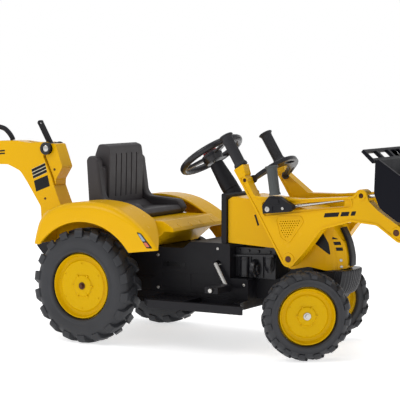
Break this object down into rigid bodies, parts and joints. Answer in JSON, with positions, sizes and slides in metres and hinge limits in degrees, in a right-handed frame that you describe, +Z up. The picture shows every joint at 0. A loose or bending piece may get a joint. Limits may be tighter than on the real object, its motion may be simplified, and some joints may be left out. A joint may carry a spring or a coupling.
{
  "type": "ride on digger",
  "caption": "Pedal-driven ride-on toy digger with a front loader, a rear excavator, steered front wheels, a seat and chain drive.",
  "frame": {"origin": "middle of the bounding box, on the ground", "axes": "+X forwards towards the loader bucket, +Y to the driver's left, +Z up"},
  "size_m": [1.772, 0.482, 0.592],
  "materials": {
    "yellow_plastic": "yellow blow-moulded plastic with a soft gloss",
    "black_plastic": "black plastic with a fine moulded grain",
    "tyre_plastic": "hollow black plastic tyre, satin",
    "seat_plastic": "dark grey moulded plastic",
    "grip_rubber": "soft ribbed rubber",
    "grey_grip": "soft grey rubber",
    "red_plastic": "glossy red plastic",
    "steel": "zinc-plated steel"
  },
  "bodies": {
    "chassis": {"chassis_frame": "black_plastic", "front_axle_beam": "steel", "running_board_right": "black_plastic", "running_board_left": "black_plastic", "engine_block": "black_plastic", "dashboard": "black_plastic", "hood": "yellow_plastic", "grille_panel": "black_plastic", "front_bumper": "black_plastic", "rear_deck": "yellow_plastic", "mudguard_right": "yellow_plastic", "mudguard_left": "yellow_plastic", "drive_chain": "steel", "steering_column_sleeve": "black_plastic", "swing_base": "black_plastic"},
    "seat": {"seat": "seat_plastic"},
    "steering": {"steering_wheel": "black_plastic", "steering_shaft": "steel"},
    "horn": {"horn_button": "red_plastic"},
    "knuckle_right": {"steering_knuckle_right": "steel"},
    "knuckle_left": {"steering_knuckle_left": "steel"},
    "tie_rod": {"tie_rod": "steel"},
    "front_wheel_right": {"front_tyre_right": "tyre_plastic", "front_rim_right": "yellow_plastic", "front_wheel_bolt_right": "steel"},
    "front_wheel_left": {"front_tyre_left": "tyre_plastic", "front_rim_left": "yellow_plastic", "front_wheel_bolt_left": "steel"},
    "rear_wheels": {"rear_tyre_right": "tyre_plastic", "rear_tyre_left": "tyre_plastic", "rear_rim_right": "yellow_plastic", "rear_rim_left": "yellow_plastic", "rear_wheel_bolt_right": "steel", "rear_wheel_bolt_left": "steel", "rear_axle": "steel", "rear_sprocket": "steel"},
    "crank": {"pedal_crank": "steel", "crank_sprocket": "steel"},
    "pedal_right": {"pedal_right": "black_plastic"},
    "pedal_left": {"pedal_left": "black_plastic"},
    "loader": {"loader_arm_right": "yellow_plastic", "loader_arm_left": "yellow_plastic", "loader_grip_right": "grip_rubber", "loader_grip_left": "grip_rubber", "arm_brace": "black_plastic", "loader_pivot_pin": "steel"},
    "tilt_carriage": {"tilt_handle_base": "black_plastic", "tilt_grip": "grey_grip", "tilt_rod": "steel"},
    "bucket": {"loader_bucket": "black_plastic", "bucket_spill_guard": "black_plastic", "bucket_pivot_pin": "steel"},
    "boom": {"boom": "yellow_plastic", "boom_rear_cover": "yellow_plastic", "boom_handle": "black_plastic"},
    "stick_lever": {"stick_lever": "black_plastic"},
    "stick_link": {"stick_drive_rod": "steel"},
    "stick": {"dipper_stick": "yellow_plastic"},
    "digger_bucket": {"digger_bucket": "black_plastic"}
  },
  "joints": [
    {"name": "rear_wheels_roll", "type": "hinge", "parent": "chassis", "child": "rear_wheels", "pos_m": [-0.192, 0, 0.155], "axis": [0, 1, 0], "continuous": true},
    {"name": "crank_turn", "type": "hinge", "parent": "chassis", "child": "crank", "pos_m": [0.153, 0, 0.222], "axis": [0, 1, 0], "continuous": true},
    {"name": "pedal_right_turn", "type": "hinge", "parent": "crank", "child": "pedal_right", "pos_m": [0.18904, -0.1565, 0.16433], "axis": [0, 1, 0], "continuous": true},
    {"name": "pedal_left_turn", "type": "hinge", "parent": "crank", "child": "pedal_left", "pos_m": [0.11696, 0.1565, 0.27967], "axis": [0, 1, 0], "continuous": true},
    {"name": "steering_turn", "type": "hinge", "parent": "chassis", "child": "steering", "pos_m": [0.079, 0, 0.505], "axis": [-0.5592, 0, 0.829], "range_deg": [-76, 0]},
    {"name": "horn_press", "type": "slide", "parent": "steering", "child": "horn", "axis": [0.5592, 0, -0.829], "range_m": [0, 0.003], "stiffness_N_per_m": 400, "springref_m": -0.001},
    {"name": "kingpin_right_turn", "type": "hinge", "parent": "chassis", "child": "knuckle_right", "pos_m": [0.4, -0.1, 0.114], "axis": [0, 0, 1], "range_deg": [-76, 0]},
    {"name": "kingpin_left_turn", "type": "hinge", "parent": "chassis", "child": "knuckle_left", "pos_m": [0.4, 0.1, 0.114], "axis": [0, 0, 1], "range_deg": [-76, 0]},
    {"name": "tie_rod_left_pivot", "type": "hinge", "parent": "knuckle_left", "child": "tie_rod", "pos_m": [0.3606, 0.06922, 0.086], "axis": [0, 0, 1], "range_deg": [0, 76]},
    {"name": "front_wheel_right_roll", "type": "hinge", "parent": "knuckle_right", "child": "front_wheel_right", "pos_m": [0.4, -0.1, 0.114], "axis": [-0.6157, 0.788, 0], "continuous": true},
    {"name": "front_wheel_left_roll", "type": "hinge", "parent": "knuckle_left", "child": "front_wheel_left", "pos_m": [0.4, 0.1, 0.114], "axis": [-0.6157, 0.788, 0], "continuous": true},
    {"name": "seat_slide", "type": "slide", "parent": "chassis", "child": "seat", "axis": [1, 0, 0], "range_m": [-0.03, 0.03]},
    {"name": "loader_lift", "type": "hinge", "parent": "chassis", "child": "loader", "pos_m": [0.377, 0, 0.25], "axis": [0, 1, 0], "range_deg": [-15, 40]},
    {"name": "bucket_tip", "type": "hinge", "parent": "loader", "child": "bucket", "pos_m": [0.674, 0, 0.332], "axis": [0, 1, 0], "range_deg": [0, 39.9]},
    {"name": "tilt_handle_slide", "type": "slide", "parent": "loader", "child": "tilt_carriage", "axis": [0.9945, 0, 0.1045], "range_m": [0, 0.0702]},
    {"name": "boom_swing", "type": "hinge", "parent": "chassis", "child": "boom", "pos_m": [-0.43, 0, 0.29], "axis": [0, 0, 1], "range_deg": [-80, 80]},
    {"name": "stick_turn", "type": "hinge", "parent": "boom", "child": "stick", "pos_m": [-0.832, 0, 0.455], "axis": [0, 1, 0], "range_deg": [-30, 40]},
    {"name": "stick_lever_turn", "type": "hinge", "parent": "boom", "child": "stick_lever", "pos_m": [-0.448, 0, 0.512], "axis": [0, 1, 0], "range_deg": [-30, 40]},
    {"name": "drive_rod_turn", "type": "hinge", "parent": "stick_lever", "child": "stick_link", "pos_m": [-0.448, 0, 0.476], "axis": [0, 1, 0], "range_deg": [-40, 30]},
    {"name": "digger_bucket_turn", "type": "hinge", "parent": "stick", "child": "digger_bucket", "pos_m": [-0.814, 0, 0.222], "axis": [0, 1, 0], "range_deg": [-60, 75]}
  ],
  "couplings": [
    {"joint": "crank_turn", "follows": "rear_wheels_roll", "ratio": 0.76923},
    {"joint": "kingpin_right_turn", "follows": "steering_turn", "ratio": 1},
    {"joint": "kingpin_left_turn", "follows": "steering_turn", "ratio": 1},
    {"joint": "tie_rod_left_pivot", "follows": "steering_turn", "ratio": -1},
    {"joint": "tilt_handle_slide", "follows": "bucket_tip", "m_per_rad": 0.10052},
    {"joint": "stick_lever_turn", "follows": "stick_turn", "ratio": 1},
    {"joint": "drive_rod_turn", "follows": "stick_turn", "ratio": -1}
  ]
}
